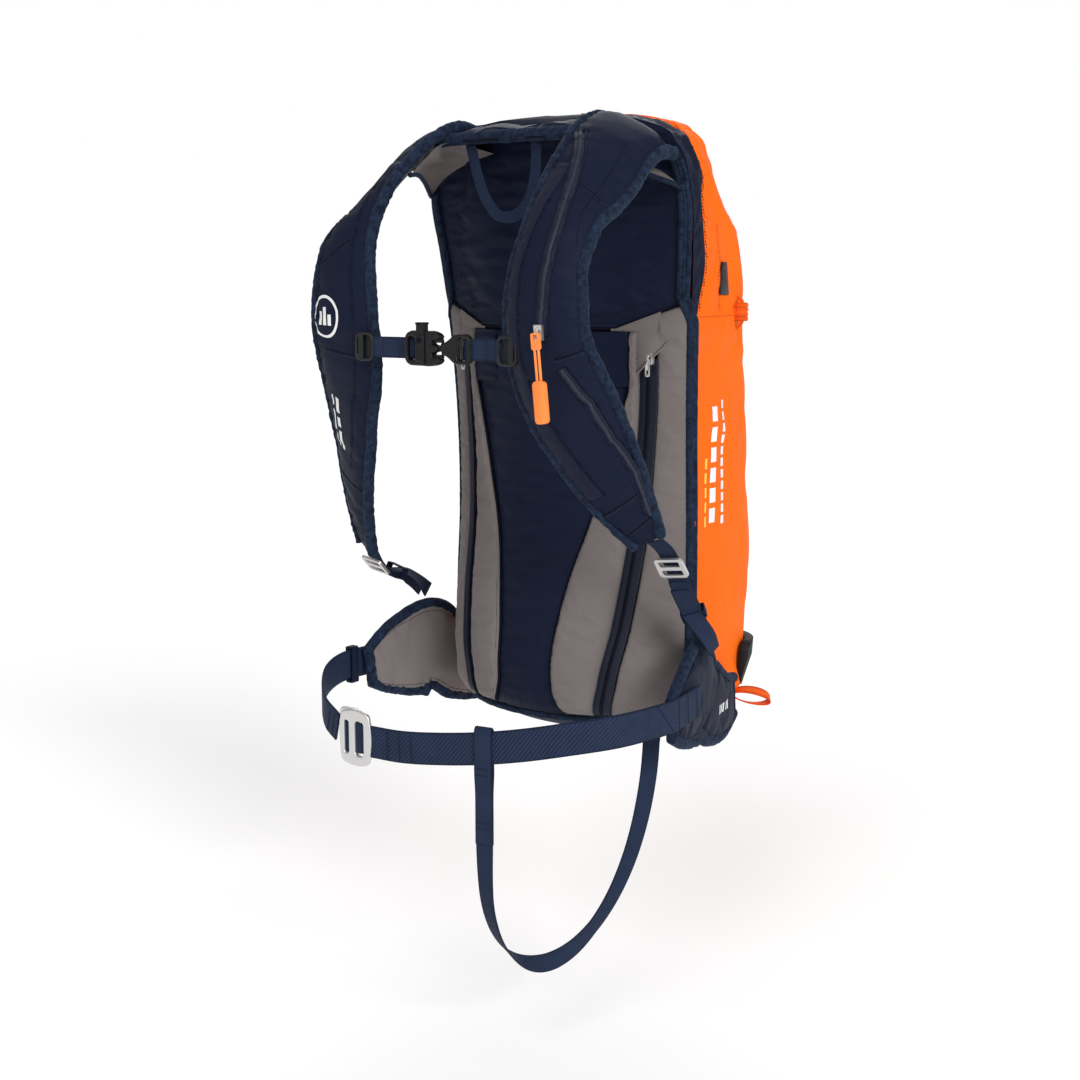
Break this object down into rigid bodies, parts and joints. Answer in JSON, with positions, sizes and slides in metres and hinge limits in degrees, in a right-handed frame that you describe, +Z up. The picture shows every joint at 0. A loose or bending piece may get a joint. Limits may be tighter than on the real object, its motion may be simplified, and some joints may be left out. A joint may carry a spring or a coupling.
{
  "type": "avalanche airbag backpack",
  "caption": "Orange and navy avalanche airbag backpack with curved shoulder straps, a release handle pocket, metal waist buckle, leg strap, back panel opening and a gas inflator inside",
  "frame": {"origin": "middle of the back panel where it rests on the wearer's back", "axes": "+X to the wearer's left, -Y towards the wearer, +Z up"},
  "size_m": [0.4057, 0.4378, 0.8457],
  "materials": {
    "shell_fabric": "orange coated plain weave",
    "back_pad": "grey stretch fabric over foam",
    "navy_panel": "navy ripstop weave",
    "navy_webbing": "navy woven webbing",
    "strap_foam": "dark navy weave over foam",
    "bound_edge": "navy pile binding",
    "zip_tape": "woven zip tape with coil",
    "orange_webbing": "orange woven webbing",
    "black_plastic": "moulded acetal",
    "grey_plastic": "moulded, dark grey",
    "orange_plastic": "moulded",
    "silver_metal": "machined, bright",
    "cylinder_metal": "painted",
    "scuff_rubber": "moulded",
    "airbag_fabric": "thin coated nylon"
  },
  "bodies": {
    "pack": {"airbag": "airbag_fabric", "back_zip_tapes": "zip_tape", "buckle_female": "black_plastic", "buckle_male": "black_plastic", "burst_zip": "zip_tape", "cable_housing": "black_plastic", "cartridge_strap": "navy_webbing", "chest_webbing_left": "navy_webbing", "chest_webbing_right": "navy_webbing", "corner_pads": "scuff_rubber", "front_pocket": "shell_fabric", "hip_fin_left": "strap_foam", "hip_fin_right": "strap_foam", "inflator_housing": "silver_metal", "inlet_grille": "black_plastic", "label_tab": "navy_webbing", "leg_strap": "navy_webbing", "leg_strap_anchor": "navy_webbing", "leg_strap_loop": "navy_webbing", "lower_webbing_left": "navy_webbing", "lower_webbing_right": "navy_webbing", "pack_shell": "shell_fabric", "shoulder_strap_left": "strap_foam", "shoulder_strap_right": "strap_foam", "shoulder_yoke": "bound_edge", "side_loops": "orange_webbing", "ski_loops": "orange_webbing", "sternum_hook_left": "grey_plastic", "sternum_hook_right": "grey_plastic", "strap_facing_right": "strap_foam", "strap_pocket": "strap_foam", "strap_tab": "black_plastic", "strap_zip_chain": "zip_tape", "waist_buckle_frame": "silver_metal", "waist_keeper": "navy_webbing", "waist_webbing_left": "navy_webbing", "waist_webbing_right": "navy_webbing", "web_keepers": "navy_webbing"},
    "back_flap": {"back_centre_panel": "navy_panel", "back_pad_left": "back_pad", "back_pad_right": "back_pad", "back_flap_panel": "back_pad", "frame_sheet": "grey_plastic", "frame_stays": "silver_metal", "flap_zip_tapes": "zip_tape", "zip_garages": "navy_webbing"},
    "back_zip_slider_left_body": {"back_zip_slider_left": "silver_metal"},
    "back_zip_slider_right_body": {"back_zip_slider_right": "silver_metal"},
    "strap_zip_slider_body": {"strap_zip_slider": "silver_metal"},
    "strap_zip_puller_body": {"strap_zip_puller": "orange_plastic"},
    "release_handle_body": {"release_handle": "orange_plastic"},
    "valve_plunger_body": {"valve_plunger": "silver_metal"},
    "buckle_prong_upper_body": {"buckle_prong_upper": "black_plastic"},
    "buckle_prong_lower_body": {"buckle_prong_lower": "black_plastic"},
    "waist_buckle_ring_body": {"waist_buckle_ring": "silver_metal"},
    "ladder_lock_left_body": {"ladder_lock_left": "silver_metal"},
    "ladder_lock_right_body": {"ladder_lock_right": "silver_metal"},
    "haul_loop_body": {"haul_loop": "navy_webbing"},
    "gas_cartridge_body": {"gas_cartridge": "cylinder_metal"}
  },
  "joints": [
    {"name": "back_flap_hinge", "type": "hinge", "parent": "pack", "child": "back_flap", "pos_m": [0, -0.001, 0.095], "axis": [-1, 0, 0], "range_deg": [0, 20]},
    {"name": "back_zip_left", "type": "slide", "parent": "pack", "child": "back_zip_slider_left_body", "axis": [-0.0462, 0.0185, -0.9988], "range_m": [0, 0.08]},
    {"name": "back_zip_right", "type": "slide", "parent": "pack", "child": "back_zip_slider_right_body", "axis": [0.0462, 0.0185, -0.9988], "range_m": [0, 0.08]},
    {"name": "strap_zip", "type": "slide", "parent": "pack", "child": "strap_zip_slider_body", "axis": [0, -0.012, 0.9999], "range_m": [0, 0.045]},
    {"name": "puller_swing", "type": "hinge", "parent": "strap_zip_slider_body", "child": "strap_zip_puller_body", "pos_m": [0.12809, -0.18722, 0.09686], "axis": [-1, 0, 0], "range_deg": [0, 100]},
    {"name": "handle_pull", "type": "slide", "parent": "pack", "child": "release_handle_body", "axis": [0.0299, 0.0748, -0.9968], "range_m": [0, 0.018]},
    {"name": "valve_stroke", "type": "slide", "parent": "pack", "child": "valve_plunger_body", "axis": [0, 0, 1], "range_m": [0, 0.006]},
    {"name": "buckle_prong_upper_flex", "type": "hinge", "parent": "pack", "child": "buckle_prong_upper_body", "pos_m": [0.0122, -0.174, 0.0872], "axis": [0, -1, 0], "range_deg": [0, 8], "stiffness_Nm_per_rad": 0.05},
    {"name": "buckle_prong_lower_flex", "type": "hinge", "parent": "pack", "child": "buckle_prong_lower_body", "pos_m": [0.0122, -0.174, 0.0728], "axis": [0, 1, 0], "range_deg": [0, 8], "stiffness_Nm_per_rad": 0.05},
    {"name": "waist_buckle_turn", "type": "hinge", "parent": "pack", "child": "waist_buckle_ring_body", "pos_m": [-0.0638, -0.198, -0.303], "axis": [0, 0, 1], "range_deg": [0, 30]},
    {"name": "ladder_lock_left_tilt", "type": "hinge", "parent": "pack", "child": "ladder_lock_left_body", "pos_m": [0.18212, -0.04818, -0.11956], "axis": [-0.9912, -0.0709, -0.1114], "range_deg": [0, 20]},
    {"name": "ladder_lock_right_tilt", "type": "hinge", "parent": "pack", "child": "ladder_lock_right_body", "pos_m": [-0.18239, -0.06095, -0.15339], "axis": [-0.9881, 0.0788, 0.1322], "range_deg": [0, 20]},
    {"name": "haul_loop_swing", "type": "hinge", "parent": "pack", "child": "haul_loop_body", "pos_m": [-0.018, -0.04, 0.274], "axis": [-1, 0, 0], "range_deg": [0, 110]},
    {"name": "cartridge_screw", "type": "hinge", "parent": "pack", "child": "gas_cartridge_body", "pos_m": [0.052, 0.13, 0.04], "axis": [0, 0, 1], "range_deg": [0, 360]}
  ],
  "couplings": [
    {"joint": "valve_stroke", "follows": "handle_pull", "ratio": 0.3},
    {"joint": "buckle_prong_lower_flex", "follows": "buckle_prong_upper_flex", "ratio": 1}
  ]
}
